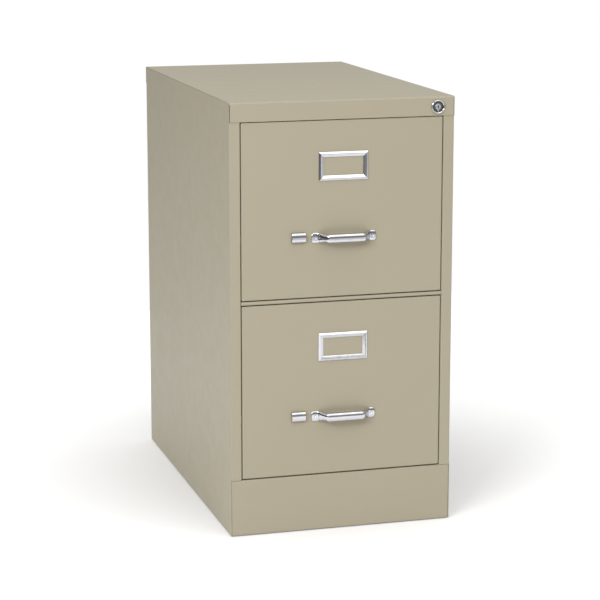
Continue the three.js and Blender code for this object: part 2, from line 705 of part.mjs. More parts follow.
function latchSlide() {
  const nose = -OPENING_HALF + 0.5;
  const y0 = SLIDE_Y - SLIDE_THICKNESS / 2;
  const y1 = SLIDE_Y + SLIDE_THICKNESS / 2;
  const half = SLIDE_HEIGHT / 2;
  const bar = box(nose, slideEnd(), y0, y1, LATCH_Z - half, LATCH_Z + half);
  return cut(bar, aboutRivet(GAP, y0 - 1, y1 + 1));
}

class Helix extends THREE.Curve {
  constructor(start, length, radius, turns) {
    super();
    Object.assign(this, { start, length, radius, turns });
  }

  getPoint(t, target = new THREE.Vector3()) {
    const angle = 2 * Math.PI * this.turns * t;
    return target.set(
      this.start + this.length * t,
      SLIDE_Y + this.radius * Math.cos(angle),
      LATCH_Z + this.radius * Math.sin(angle),
    );
  }
}

function latchSpring() {
  const wire = SPRING_WIRE_RADIUS;
  const start = slideEnd() + GAP + wire;
  const path = new Helix(start, SPRING_LENGTH - 2 * wire, SPRING_RADIUS, SPRING_TURNS);
  const section = new THREE.Shape();
  section.absarc(0, 0, wire, 0, 2 * Math.PI, false);
  return new THREE.ExtrudeGeometry(section, { extrudePath: path, steps: 50, curveSegments: 3 });
}

function addDrawer(level) {
  const bottom = FACE_BOTTOMS[level];
  const group = new THREE.Group();
  group.position.z = bottom;
  cabinet.add(group);
  add(group, `${level}_drawer_face`, faceShell(), PAINT);
  add(group, `${level}_drawer_liner`, faceLiner(), PAINT);
  add(group, `${level}_drawer_tray`, tray(), PAINT);
  add(group, `${level}_drawer_back`, trayBack(), PAINT);
  add(group, `${level}_label_holder`, labelHolder(), CHROME);
  add(group, `${level}_pull`, pull(), CHROME);
  add(group, `${level}_lock_catch`, lockCatch(), ZINC);
  add(group, `${level}_thumb_button`, thumbButton(), CHROME);
  add(group, `${level}_latch_slide`, latchSlide(), ZINC);
  add(group, `${level}_latch_spring`, latchSpring(), ZINC);
  addPair(group, `${level}_case_rail`, caseRail(), ZINC);
  addPair(group, `${level}_drawer_rail`, drawerRail(), ZINC);
  const caseRollerX = CASE_RAIL_FACE - RAIL_FLANGE + 0.8;
  const drawerRollerX = TRAY_HALF + GAP + RAIL_SHEET + 1.5;
  const frontRoller = roller(CASE_ROLLER_RADIUS, caseRollerX, CASE_ROLLER_Y, CASE_ROLLER_Z);
  const rearRoller = roller(DRAWER_ROLLER_RADIUS, drawerRollerX, DRAWER_ROLLER_Y, DRAWER_ROLLER_Z);
  addPair(group, `${level}_case_roller`, frontRoller, NYLON);
  addPair(group, `${level}_drawer_roller`, rearRoller, NYLON);
}

// ---------- lock ----------
function lockHousing() {
  const front = CAP_FRONT - LOCK_RING_PROUD;
  const profile = [
    [LOCK_BORE_RADIUS, LOCK_REAR],
    [LOCK_BORE_RADIUS, front + 0.6],
    [LOCK_BORE_RADIUS + 0.6, front],
    [LOCK_RING_RADIUS - 1, front],
    [LOCK_RING_RADIUS, front + 1],
    [LOCK_RING_RADIUS, CAP_FRONT - GAP],
    [LOCK_BARREL_RADIUS, CAP_FRONT - GAP],
    [LOCK_BARREL_RADIUS, LOCK_REAR],
    [LOCK_BORE_RADIUS, LOCK_REAR],
  ];
  const points = profile.map(([r, y]) => new THREE.Vector2(r, y));
  return new THREE.LatheGeometry(points, 32).translate(LOCK_X, 0, LOCK_Z);
}

const squareAboutLock = (half, y0, y1) =>
  box(LOCK_X - half, LOCK_X + half, y0, y1, LOCK_Z - half, LOCK_Z + half);

function lockPlug() {
  const front = CAP_FRONT - LOCK_PLUG_PROUD;
  const body = cylinderY(LOCK_PLUG_RADIUS, LOCK_X, front, LOCK_REAR, LOCK_Z, 32);
  const tang = squareAboutLock(LOCK_TANG_HALF, LOCK_REAR - 1, CAM_Y1 + 1);
  const x = LOCK_KEYWAY_WIDTH / 2;
  const z = LOCK_KEYWAY_HEIGHT / 2;
  const keyway = box(LOCK_X - x, LOCK_X + x, front - 1, front + LOCK_KEYWAY_DEPTH, LOCK_Z - z, LOCK_Z + z);
  return cut(join(body, tang), keyway);
}

// The cam points down and to the right at rest, and up and to the right when locked.
function lockCam() {
  const pinX = LOCK_X + CAM_THROW * Math.SQRT1_2;
  const pinZ = LOCK_Z - CAM_THROW * Math.SQRT1_2;
  const hub = cylinderY(CAM_HUB_RADIUS, LOCK_X, CAM_Y0, CAM_Y1, LOCK_Z, 20);
  const tip = cylinderY(CAM_TIP_RADIUS, pinX, CAM_Y0, CAM_Y1, pinZ, 16);
  const lever = new THREE.BoxGeometry(CAM_THROW, CAM_Y1 - CAM_Y0, 2 * CAM_TIP_RADIUS)
    .translate(CAM_THROW / 2, 0, 0)
    .rotateY(Math.PI / 4)
    .translate(LOCK_X, (CAM_Y0 + CAM_Y1) / 2, LOCK_Z);
  const pin = cylinderY(CAM_PIN_RADIUS, pinX, CAM_Y0, BAR_Y1 + 1, pinZ, 12);
  const hole = squareAboutLock(LOCK_TANG_HALF + GAP, CAM_Y0 - 1, CAM_Y1 + 1);
  return cut(join(hub, tip, lever, pin), hole);
}

function lockBar() {
  const pinZ = LOCK_Z - CAM_THROW * Math.SQRT1_2;
  const top = pinZ + BAR_ARM_HALF;
  const strip = box(BAR_X0, BAR_X1, BAR_Y0, BAR_Y1, BAR_BOTTOM, top);
  const arm = box(LOCK_X + 1.5, BAR_X1, BAR_Y0, BAR_Y1, pinZ - BAR_ARM_HALF, top);
  const slotZ = CAM_PIN_RADIUS + 0.6;
  const slot = box(LOCK_X + 3.4, LOCK_X + 11.2, BAR_Y0 - 1, BAR_Y1 + 1, pinZ - slotZ, pinZ + slotZ);
  const hooks = Object.values(FACE_BOTTOMS).map((bottom) => {
    const hookTop = bottom + CATCH_Z - CATCH_HEIGHT / 2 - HOOK_CLEARANCE;
    return box(TRAY_HALF + 8, BAR_X1, BAR_Y0, BAR_Y1, hookTop - HOOK_HEIGHT, hookTop);
  });
  return cut(join(strip, arm, ...hooks), slot);
}

function addLock() {
  add(cabinet, "lock_housing", lockHousing(), CHROME);
  add(cabinet, "lock_plug", lockPlug(), DARK_METAL);
  add(cabinet, "lock_cam", lockCam(), ZINC);
  add(cabinet, "lock_bar", lockBar(), ZINC);
}

addCase();
addDrawer("lower");
addDrawer("upper");
addLock();

export default cabinet;
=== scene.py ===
"""The looks of a two-drawer vertical filing cabinet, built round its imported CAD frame.

Lengths are in metres, in the frame's own axes: +Z up, the drawers open towards -Y. The sizes of
small details are in millimetres, and are multiplied by MM where they are used.
"""

import json
import math

import bmesh
import bpy
from mathutils import Matrix, Vector


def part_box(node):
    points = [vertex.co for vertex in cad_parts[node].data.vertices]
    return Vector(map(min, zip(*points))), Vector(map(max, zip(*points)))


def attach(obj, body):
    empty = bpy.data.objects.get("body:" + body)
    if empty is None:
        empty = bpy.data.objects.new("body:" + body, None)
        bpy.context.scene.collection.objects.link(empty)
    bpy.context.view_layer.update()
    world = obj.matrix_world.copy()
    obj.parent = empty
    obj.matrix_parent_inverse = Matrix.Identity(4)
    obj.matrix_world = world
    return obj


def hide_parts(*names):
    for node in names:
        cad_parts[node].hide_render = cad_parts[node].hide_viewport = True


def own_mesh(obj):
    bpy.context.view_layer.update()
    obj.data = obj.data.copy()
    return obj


MM = 0.001
LEVELS = ("upper", "lower")
HANDS = {"left": -1, "right": 1}  # with the side that each is on, along X
ENDS = ("front", "rear")

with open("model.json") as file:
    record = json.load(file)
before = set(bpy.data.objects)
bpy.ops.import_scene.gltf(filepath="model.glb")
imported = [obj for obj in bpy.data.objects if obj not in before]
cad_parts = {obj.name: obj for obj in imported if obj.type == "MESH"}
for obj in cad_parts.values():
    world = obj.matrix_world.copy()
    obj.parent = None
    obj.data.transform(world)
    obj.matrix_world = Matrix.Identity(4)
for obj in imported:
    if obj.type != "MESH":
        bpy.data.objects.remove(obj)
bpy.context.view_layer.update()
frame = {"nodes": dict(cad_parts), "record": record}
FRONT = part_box("upper_drawer_face")[0].y  # plane of the drawer faces and stiles
CAP_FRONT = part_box("top_panel")[0].y  # plane of the top panel's front lip

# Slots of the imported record
PAINT = "putty_paint"
CHROME = "bright_chrome"
ZINC = "zinc_plate"
NYLON = "nylon"
LOCK_CORE = "lock_core"
GLIDE_METAL = "glide_metal"


# ---------- shader nodes ----------
WHITE = (1.0, 1.0, 1.0, 1.0)
NOISE_SPAN = (0.3, 0.7)  # most of a noise lies between these values


def new_material(name):
    material = bpy.data.materials.new(name)
    material.use_nodes = True
    tree = material.node_tree
    return material, tree, tree.nodes["Principled BSDF"]


def position(tree):
    """Where a point is on its piece, in metres."""
    return tree.nodes.new("ShaderNodeTexCoord").outputs["Object"]


def stretched(tree, vector, scale):
    node = tree.nodes.new("ShaderNodeMapping")
    node.inputs["Scale"].default_value = scale
    tree.links.new(vector, node.inputs["Vector"])
    return node.outputs["Vector"]


def noise(tree, vector, scale, detail):
    node = tree.nodes.new("ShaderNodeTexNoise")
    node.inputs["Scale"].default_value = scale
    node.inputs["Detail"].default_value = detail
    tree.links.new(vector, node.inputs["Vector"])
    return node.outputs["Fac"]


def map_range(tree, value, span, low=0.0, high=1.0):
    """Maps the two ends of span to low and high, and clamps what lies outside them."""
    node = tree.nodes.new("ShaderNodeMapRange")
    node.inputs["From Min"].default_value = span[0]
    node.inputs["From Max"].default_value = span[1]
    node.inputs["To Min"].default_value = low
    node.inputs["To Max"].default_value = high
    tree.links.new(value, node.inputs["Value"])
    return node.outputs["Result"]


def product(tree, first, second):
    node = tree.nodes.new("ShaderNodeMath")
    node.operation = "MULTIPLY"
    tree.links.new(first, node.inputs[0])
    tree.links.new(second, node.inputs[1])
    return node.outputs["Value"]


# ---------- camera, light and floor ----------
CAMERA_PLACE = (-1.0018, -3.5524, 1.0950)
CAMERA_YAW = 15.98  # degrees, from +Y towards +X
CAMERA_PITCH = 11.72  # degrees down
SENSOR = 36.0
LENS = 126.66

FLOOR_SIZE = 3.0
FLOOR_COLOUR = (0.74, 0.74, 0.74, 1.0)
FLOOR_ROUGHNESS = 0.9
FLOOR_GLOSS = 0.1
FLOOR_GLOW = 0.38  # light of the floor's own, which merges its far edge with the backdrop
GLOW_SPAN = (0.10, 0.80)  # distances from the cabinet's middle over which that light comes up

LIGHTS = {  # place, target, size and power in watts
    "key": ((-2.7, -3.0, 2.4), (0.0, -0.3, 0.45), (1.8, 1.2), 112.0),
    "overhead": ((0.40, -1.75, 2.87), (0.0, -0.33, 0.5), (2.2, 2.4), 29.0),
}

STUDIO_TONES = (  # greys of the studio by height, which is half of 1 + the sine of the elevation
    (0.0, 0.90),
    (0.425, 0.95),
    (0.45, 0.30),
    (0.58, 0.25),
    (0.66, 0.90),
    (1.0, 0.86),
)
DARK_WALL = 0.75  # how much of the light is missing low down on the left
DARK_WALL_X = (-0.35, -0.6)  # the X and the Z of a direction over which that wall sets in
DARK_WALL_Z = (0.32, 0.12)


def make_camera():
    data = bpy.data.cameras.new("camera")
    data.sensor_width = SENSOR
    data.lens = LENS
    camera = bpy.data.objects.new("camera", data)
    camera.location = CAMERA_PLACE
    camera.rotation_euler = (math.radians(90 - CAMERA_PITCH), 0.0, math.radians(-CAMERA_YAW))
    bpy.context.scene.collection.objects.link(camera)
    bpy.context.scene.camera = camera


def floor_material():
    material, tree, shader = new_material("floor")
    shader.inputs["Base Color"].default_value = FLOOR_COLOUR
    shader.inputs["Roughness"].default_value = FLOOR_ROUGHNESS
    shader.inputs["Specular IOR Level"].default_value = FLOOR_GLOSS
    shader.inputs["Emission Color"].default_value = WHITE
    # painted light: the floor glows, little close to the cabinet and more further out, so a painted soft
    # shade lies round its base
    distance = tree.nodes.new("ShaderNodeVectorMath")
    distance.operation = "LENGTH"
    tree.links.new(position(tree), distance.inputs[0])
    glow = map_range(tree, distance.outputs["Value"], GLOW_SPAN, high=FLOOR_GLOW)
    tree.links.new(glow, shader.inputs["Emission Strength"])
    return material


def make_floor():
    """A pale floor that glows more away from the cabinet: painted light, which leaves a painted soft
    shade close round the base. It is small enough for low reflections to show the studio past its edges.
    """
    half = FLOOR_SIZE / 2
    mesh = bpy.data.meshes.new("floor")
    corners = [(-half, -half, 0), (half, -half, 0), (half, half, 0), (-half, half, 0)]
    mesh.from_pydata(corners, [], [(0, 1, 2, 3)])
    mesh.materials.append(floor_material())
    floor = bpy.data.objects.new("floor", mesh)
    bpy.context.scene.collection.objects.link(floor)


def make_area_light(name, place, target, size, power):
    data = bpy.data.lights.new(name, "AREA")
    data.shape = "RECTANGLE"
    data.size, data.size_y = size
    data.energy = power
    light = bpy.data.objects.new(name, data)
    light.location = place
    light.rotation_euler = (Vector(target) - Vector(place)).to_track_quat("-Z", "Y").to_euler()
    bpy.context.scene.collection.objects.link(light)


def studio_light(tree):
    """What the surfaces reflect: a studio with a dim band along the horizon and a dim left wall."""
    direction = tree.nodes.new("ShaderNodeTexCoord")
    parts = tree.nodes.new("ShaderNodeSeparateXYZ")
    tree.links.new(direction.outputs["Generated"], parts.inputs["Vector"])
    tones = tree.nodes.new("ShaderNodeValToRGB")
    elements = tones.color_ramp.elements
    while len(elements) < len(STUDIO_TONES):
        elements.new(0.5)
    for element, (place, tone) in zip(elements, STUDIO_TONES):
        element.position = place
        element.color = (tone, tone, tone, 1.0)
    height = map_range(tree, parts.outputs["Z"], (-1.0, 1.0))
    tree.links.new(height, tones.inputs["Fac"])
    left = map_range(tree, parts.outputs["X"], DARK_WALL_X)
    low = map_range(tree, parts.outputs["Z"], DARK_WALL_Z)
    strength = map_range(tree, product(tree, left, low), (0.0, 1.0), 1.0, 1.0 - DARK_WALL)
    light = tree.nodes.new("ShaderNodeBackground")
    tree.links.new(tones.outputs["Color"], light.inputs["Color"])
    tree.links.new(strength, light.inputs["Strength"])
    return light.outputs["Background"]


def make_world():
    """The studio's light, and a plain white backdrop where the camera looks past the floor."""
    world = bpy.data.worlds.new("studio")
    bpy.context.scene.world = world
    world.use_nodes = True
    tree = world.node_tree
    tree.nodes.clear()
    backdrop = tree.nodes.new("ShaderNodeBackground")
    backdrop.inputs["Color"].default_value = WHITE
    path = tree.nodes.new("ShaderNodeLightPath")
    mix = tree.nodes.new("ShaderNodeMixShader")
    out = tree.nodes.new("ShaderNodeOutputWorld")
    tree.links.new(path.outputs["Is Camera Ray"], mix.inputs["Fac"])
    tree.links.new(studio_light(tree), mix.inputs[1])
    tree.links.new(backdrop.outputs["Background"], mix.inputs[2])
    tree.links.new(mix.outputs["Shader"], out.inputs["Surface"])


def make_studio():
    bpy.context.scene.view_settings.view_transform = "Standard"
    make_camera()
    make_floor()
    make_world()
    for name, settings in LIGHTS.items():
        make_area_light(name, *settings)


# ---------- materials ----------
PUTTY = (0.328, 0.295, 0.216)


def scaled(colour, factor):
    return tuple(c * factor for c in colour)


def tint(tree, shader, pattern, low, high):
    """Lets the colour drift between low and high."""
    node = tree.nodes.new("ShaderNodeValToRGB")
    for element, place, colour in zip(node.color_ramp.elements, NOISE_SPAN, (low, high)):
        element.position = place
        element.color = (*colour, 1.0)
    tree.links.new(pattern, node.inputs["Fac"])
    tree.links.new(node.outputs["Color"], shader.inputs["Base Color"])


def roughen(tree, shader, pattern, low, high):
    """Lets the roughness drift between low and high."""
    tree.links.new(map_range(tree, pattern, NOISE_SPAN, low, high), shader.inputs["Roughness"])


def bump(tree, shader, pattern, strength, distance):
    node = tree.nodes.new("ShaderNodeBump")
    node.inputs["Strength"].default_value = strength
    node.inputs["Distance"].default_value = distance
    tree.links.new(pattern, node.inputs["Height"])
    tree.links.new(node.outputs["Normal"], shader.inputs["Normal"])


def putty_paint():
    """Baked enamel: a fine orange peel, and a slow drift in shade and gloss."""
    material, tree, shader = new_material("putty_enamel")
    place = position(tree)
    shader.inputs["Specular IOR Level"].default_value = 0.3
    drift = noise(tree, place, scale=3.0, detail=2.0)
    tint(tree, shader, drift, scaled(PUTTY, 0.99), scaled(PUTTY, 1.01))
    roughen(tree, shader, noise(tree, place, scale=45.0, detail=3.0), 0.40, 0.48)
    peel = noise(tree, place, scale=900.0, detail=2.0)
    bump(tree, shader, peel, strength=0.10, distance=0.0004)
    return material


def bright_chrome():
    """Plated steel: nearly a mirror, with faint clouding from handling."""
    material, tree, shader = new_material("bright_chrome")
    place = position(tree)
    shader.inputs["Metallic"].default_value = 1.0
    cloud = noise(tree, place, scale=120.0, detail=4.0)
    tint(tree, shader, cloud, (0.54, 0.54, 0.57), (0.60, 0.60, 0.62))
    roughen(tree, shader, cloud, 0.07, 0.14)
    grain = noise(tree, place, scale=500.0, detail=2.0)
    bump(tree, shader, grain, strength=0.04, distance=0.0002)
    return material


def zinc_plate():
    """Zinc plate on rolled steel: fine rolling lines along Y and a soft mottle."""
    material, tree, shader = new_material("zinc_plate")
    place = position(tree)
    shader.inputs["Metallic"].default_value = 0.95
    mottle = noise(tree, place, scale=90.0, detail=4.0)
    tint(tree, shader, mottle, (0.50, 0.51, 0.52), (0.62, 0.63, 0.64))
    lines = noise(tree, stretched(tree, place, (900.0, 12.0, 900.0)), scale=1.0, detail=3.0)
    roughen(tree, shader, lines, 0.30, 0.45)
    bump(tree, shader, lines, strength=0.15, distance=0.0002)
    return material


def nylon():
    """Natural nylon: waxy, slightly translucent, with light scuffs."""
    material, tree, shader = new_material("nylon")
    shader.inputs["Subsurface Weight"].default_value = 0.1
    shader.inputs["Subsurface Radius"].default_value = (0.002, 0.002, 0.0015)
    scuffs = noise(tree, position(tree), scale=260.0, detail=5.0)
    tint(tree, shader, scuffs, (0.66, 0.64, 0.57), (0.80, 0.78, 0.72))
    roughen(tree, shader, scuffs, 0.42, 0.58)
    bump(tree, shader, scuffs, strength=0.12, distance=0.0003)
    return material


def lock_core():
    """Dark satin metal with a fine grain."""
    material, tree, shader = new_material("lock_core")
    shader.inputs["Metallic"].default_value = 0.9
    grain = noise(tree, position(tree), scale=700.0, detail=4.0)
    tint(tree, shader, grain, (0.10, 0.10, 0.105), (0.19, 0.19, 0.20))
    roughen(tree, shader, grain, 0.28, 0.42)
    bump(tree, shader, grain, strength=0.15, distance=0.0002)
    return material


def glide_metal():
    """Zinc-plated pressing with dull spots here and there."""
    material, tree, shader = new_material("glide_metal")
    shader.inputs["Metallic"].default_value = 0.9
    spots = noise(tree, position(tree), scale=180.0, detail=5.0)
    tint(tree, shader, spots, (0.33, 0.33, 0.33), (0.50, 0.50, 0.50))
    roughen(tree, shader, spots, 0.30, 0.50)
    bump(tree, shader, spots, strength=0.15, distance=0.0003)
    return material


MATERIALS = {
    PAINT: putty_paint(),
    CHROME: bright_chrome(),
    ZINC: zinc_plate(),
    NYLON: nylon(),
    LOCK_CORE: lock_core(),
    GLIDE_METAL: glide_metal(),
}


# ---------- CAD pieces that stay ----------
SMOOTH_BELOW = 32  # degrees between faces: a sharper fold stays sharp
FLAT_BELOW = 1  # degrees between faces that become one
ROUND_ABOVE = 40  # degrees between faces whose edge is rounded
CAD_EDGE = 0.2 * MM  # width of that rounding
WELD_REACH = 0.002 * MM  # vertices this close become one


def smooth_group():
    """A node group that shades a mesh smooth, but for its sharp folds."""
    group = bpy.data.node_groups.new("smooth_by_angle", "GeometryNodeTree")
    group.interface.new_socket("Geometry", in_out="INPUT", socket_type="NodeSocketGeometry")
    group.interface.new_socket("Geometry", in_out="OUTPUT", socket_type="NodeSocketGeometry")
    nodes = group.nodes
    source = nodes.new("NodeGroupInput")
    result = nodes.new("NodeGroupOutput")
    faces = nodes.new("GeometryNodeSetShadeSmooth")
    edges = nodes.new("GeometryNodeSetShadeSmooth")
    edges.domain = "EDGE"
    edges.inputs["Shade Smooth"].default_value = False
    angle = nodes.new("GeometryNodeInputMeshEdgeAngle")
    sharp = nodes.new("FunctionNodeCompare")
    sharp.data_type = "FLOAT"
    sharp.operation = "GREATER_THAN"
    sharp.inputs["B"].default_value = math.radians(SMOOTH_BELOW)
    normals = nodes.new("GeometryNodeRemoveAttribute")
    normals.inputs["Name"].default_value = "custom_normal"
    group.links.new(source.outputs[0], normals.inputs["Geometry"])
    group.links.new(normals.outputs["Geometry"], faces.inputs["Geometry"])
    group.links.new(faces.outputs["Geometry"], edges.inputs["Geometry"])
    group.links.new(angle.outputs["Unsigned Angle"], sharp.inputs["A"])
    group.links.new(sharp.outputs["Result"], edges.inputs["Selection"])
    group.links.new(edges.outputs["Geometry"], result.inputs[0])
    return group


def add_bevel(piece, width, segments, angle):
    bevel = piece.modifiers.new("edges", "BEVEL")
    bevel.width = width
    bevel.segments = segments
    bevel.limit_method = "ANGLE"
    bevel.angle_limit = math.radians(angle)


def flatten_normals(piece):
    """Lets the large faces set the shading, so that a rounded edge doesn't tint them."""
    normals = piece.modifiers.new("flat_normals", "WEIGHTED_NORMAL")
    normals.keep_sharp = True


def finish_cad_node(node, material, shading):
    """Gives a CAD node its material, merges its flat triangles and rounds its cut edges."""
    node.data.materials.clear()
    node.data.materials.append(material)
    weld = node.modifiers.new("weld", "WELD")
    weld.merge_threshold = WELD_REACH
    flat = node.modifiers.new("flat_faces", "DECIMATE")
    flat.decimate_type = "DISSOLVE"
    flat.angle_limit = math.radians(FLAT_BELOW)
    add_bevel(node, CAD_EDGE, 2, ROUND_ABOVE)
    node.modifiers.new("shading", "NODES").node_group = shading
    flatten_normals(node)


def finish_cad_nodes():
    slots = {row["node"]: row["material_slot"] for row in frame["record"]["subparts"]}
    shading = smooth_group()
    for name, node in frame["nodes"].items():
        if not node.hide_render:
            finish_cad_node(node, MATERIALS[slots[name]], shading)


# ---------- tools for new pieces ----------
def add_piece(name, bm, slot, body, replaces=(), sharp=35):
    """Makes an object of a bmesh, with its material, body, slot and the CAD nodes it stands for.

    Edges that turn by more than sharp, in degrees, aren't shaded smooth.
    """
    bmesh.ops.recalc_face_normals(bm, faces=bm.faces)
    mesh = bpy.data.meshes.new(name)
    bm.to_mesh(mesh)
    bm.free()
    mesh.materials.append(MATERIALS[slot])
    mesh.polygons.foreach_set("use_smooth", [True] * len(mesh.polygons))
    mesh.set_sharp_from_angle(angle=math.radians(sharp))
    piece = bpy.data.objects.new(name, mesh)
    bpy.context.scene.collection.objects.link(piece)
    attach(piece, body)
    if replaces:
        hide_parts(*replaces)
    return piece


def round_edges(piece, width, above):
    """Rounds the edges of a new piece that are sharper than an angle in degrees."""
    add_bevel(piece, width, 3, above)
    flatten_normals(piece)


def neighbours(rows, closed):
    """Pairs of rows that follow each other, and the last with the first if closed."""
    pairs = list(zip(rows, rows[1:]))
    if closed:
        pairs.append((rows[-1], rows[0]))
    return pairs


def lofted(rings, closed=False):
    """Skins rings of points that all have the same count. Open lofts get end caps."""
    bm = bmesh.new()
    rows = [[bm.verts.new(point) for point in ring] for ring in rings]
    count = len(rows[0])
    for first, second in neighbours(rows, closed):
        for i in range(count):
            j = (i + 1) % count
            bm.faces.new((first[i], first[j], second[j], second[i]))
    if not closed:
        bm.faces.new(rows[0])
        bm.faces.new(list(reversed(rows[-1])))
    return bm


def turned(profile, place, segments, closed=False):
    """Revolves a profile of (radius, height), in millimetres, about the local Z axis of place."""
    bm = bmesh.new()
    rows = []
    for radius, height in profile:
        row = []
        for k in range(segments if radius > 0 else 1):
            angle = 2 * math.pi * k / segments
            point = Vector((radius * math.cos(angle), radius * math.sin(angle), height))
            row.append(bm.verts.new(place @ (point * MM)))
        rows.append(row)
    for first, second in neighbours(rows, closed):
        for i in range(segments):
            j = (i + 1) % segments
            corners = [first[i % len(first)], first[j % len(first)]]
            corners += [second[j % len(second)], second[i % len(second)]]
            bm.faces.new(list(dict.fromkeys(corners)))
    return bm


FACING = {  # the turn that brings local +Z to a side of the cabinet
    "front": (90, "X"),
    "rear": (-90, "X"),
    "left": (-90, "Y"),
    "right": (90, "Y"),
}


def facing(side, x, y, z):
    """A placing at a point whose local +Z looks to a side of the cabinet."""
    degrees, axis = FACING[side]
    return Matrix.Translation((x, y, z)) @ Matrix.Rotation(math.radians(degrees), 4, axis)


# ---------- pulls, sizes in millimetres ----------
DOME_POWER = 2.6  # 2 gives an ellipse, more is squarer
DOME_STEPS = 16
BEND_STEPS = 12
PULL_STEP = 1.2  # between two stations along a pull
ARM_START = 31.5  # where an arm's front leaves that of the grip, from the middle
ARM_END = 44.6  # where it meets the front of the foot
ARM_BENDS = (8.0, 3.0)  # radius of the bend at the grip and of the one at the foot
GRIP_SIZE = (6.2, 7.5)  # depth and half height of the grip
FOOT_SIZE = (2.3, 8.6)  # and those of a foot
FOOT_CORNER = 2.8  # rounding of the corners at its end
FITTING_GAP = 0.3  # between a drawer's face and a fitting on it
RIVET_INSET = 5.8  # from the end of a foot to its rivet
RIVET_OUT = 2.5  # from the drawer's face to the rim of its head
PULL_RIVET = (
    (0, -1.2),
    (1.0, -1.1),
    (1.3, 0.1),
    (1.6, 0.35),
    (2.1, 0.3),
    (2.4, 0.0),
    (2.4, -0.4),
    (0, -1.5),
)


def smoothstep(t):
    t = min(max(t, 0.0), 1.0)
    return t * t * (3 - 2 * t)


def mixed(low, high, t):
    return low + (high - low) * t


def rounded_path(corners, radii, step):
    """Evenly spaced points (x, y) along a polyline whose inner corners are rounded."""
    points = [Vector(corners[0])]
    for before, corner, after, radius in zip(corners, corners[1:], corners[2:], radii):
        corner = Vector(corner)
        back = (Vector(before) - corner).normalized()
        on = (Vector(after) - corner).normalized()
        half_angle = back.angle(on) / 2
        reach = radius / math.tan(half_angle)
        centre = corner + (back + on).normalized() * (radius / math.sin(half_angle))
        start = corner + back * reach - centre
        sweep = start.angle_signed(corner + on * reach - centre)
        for k in range(BEND_STEPS + 1):
            points.append(centre + Matrix.Rotation(-sweep * k / BEND_STEPS, 2) @ start)
    points.append(Vector(corners[-1]))
    even = []
    for first, second in zip(points, points[1:]):
        count = max(1, math.ceil((second - first).length / step))
        even += [first.lerp(second, k / count) for k in range(count)]
    return even + [points[-1]]


def dome(half_height, depth):
    """A domed outline (out, height) over a flat back, from the bottom up the front to the top."""
    outline = []
    for k in range(DOME_STEPS + 1):
        angle = math.pi * (k / DOME_STEPS - 0.5)
        out = max(0.0, math.cos(angle)) ** (2 / DOME_POWER)
        up = math.copysign(abs(math.sin(angle)) ** (2 / DOME_POWER), math.sin(angle))
        outline.append((depth * out, half_height * up))
    return outline


def pull_stations(half, reach):
    """Half a pull from its middle: places on its front, with the depth and half height there."""
    foot_front = -(FOOT_SIZE[0] + FITTING_GAP) * MM
    corner = FOOT_CORNER * MM
    corners = [(0, -reach), (ARM_START * MM, -reach), (ARM_END * MM, foot_front), (half, foot_front)]
    path = rounded_path(corners, [radius * MM for radius in ARM_BENDS], PULL_STEP * MM)
    stations = []
    for point in path:
        fallen = (point.y + reach) / (foot_front + reach)
        depth = mixed(GRIP_SIZE[0], FOOT_SIZE[0], smoothstep(fallen)) * MM
        height = mixed(GRIP_SIZE[1], FOOT_SIZE[1], smoothstep(2 * fallen - 1)) * MM
        round_corner = max(0.0, point.x - half + corner) / corner
        height -= corner * (1 - math.sqrt(max(0.0, 1 - round_corner**2)))
        stations.append((point, depth, height))
    return stations


def make_pull(level):
    """A bow pull: a half-round grip on two arms that spread into flat leaf-shaped feet."""
    node = f"{level}_pull"
    low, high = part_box(node)
    centre = (low + high) / 2
    right = pull_stations((high.x - low.x) / 2, FRONT - low.y)
    left = [(Vector((-point.x, point.y)), depth, height) for point, depth, height in reversed(right[1:])]
    stations = left + right
    last = len(stations) - 1
    rings = []
    for k, (point, depth, height) in enumerate(stations):
        along = (stations[min(k + 1, last)][0] - stations[max(k - 1, 0)][0]).normalized()
        front = Vector((along.y, -along.x))
        ring = []
        for out, z in dome(height, depth):
            place = point + front * (out - depth)
            ring.append((centre.x + place.x, FRONT + place.y, centre.z + z))
        rings.append(ring)
    piece = add_piece(f"{level}_bow_pull", lofted(rings), CHROME, f"{level}_drawer", [node], sharp=60)
    round_edges(piece, 0.5 * MM, above=50)


def make_pull_rivets(level):
    """A small flush rivet with a hollow end through each foot of the pull."""
    low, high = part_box(f"{level}_pull")
    centre = (low + high) / 2
    for hand, sign in HANDS.items():
        x = centre.x + sign * ((high.x - low.x) / 2 - RIVET_INSET * MM)
        place = facing("front", x, FRONT - RIVET_OUT * MM, centre.z)
        rivet = turned(PULL_RIVET, place, 32)
        add_piece(f"{level}_pull_rivet_{hand}", rivet, CHROME, f"{level}_drawer")


# ---------- label holders, sizes in millimetres ----------
LABEL_SECTION = (  # from the outer edge: across the strip, then out from the face
    (0.0, 0.3),
    (0.0, 1.0),
    (0.3, 1.5),
    (2.9, 3.05),
    (3.5, 3.2),
    (4.1, 3.05),
    (8.0, 1.1),
    (8.5, 0.8),
    (8.3, 0.5),
    (4.1, 1.3),
    (1.4, 0.9),
    (0.9, 0.3),
)


def label_corner(x, z, right, up):
    """The strip's section at a corner of the holder; right and up are the ways to its middle."""
    return [
        (x + right * across * MM, FRONT - out * MM, z + up * across * MM)
        for across, out in LABEL_SECTION
    ]


def make_label_holder(level):
    """A frame of pressed strip, mitred at its corners."""
    node = f"{level}_label_holder"
    low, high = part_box(node)
    rings = [
        label_corner(low.x, low.z, 1, 1),
        label_corner(high.x, low.z, -1, 1),
        label_corner(high.x, high.z, -1, -1),
        label_corner(low.x, high.z, 1, -1),
    ]
    strip = lofted(rings, closed=True)
    piece = add_piece(f"{level}_card_frame", strip, CHROME, f"{level}_drawer", [node], sharp=30)
    round_edges(piece, 0.3 * MM, above=36)


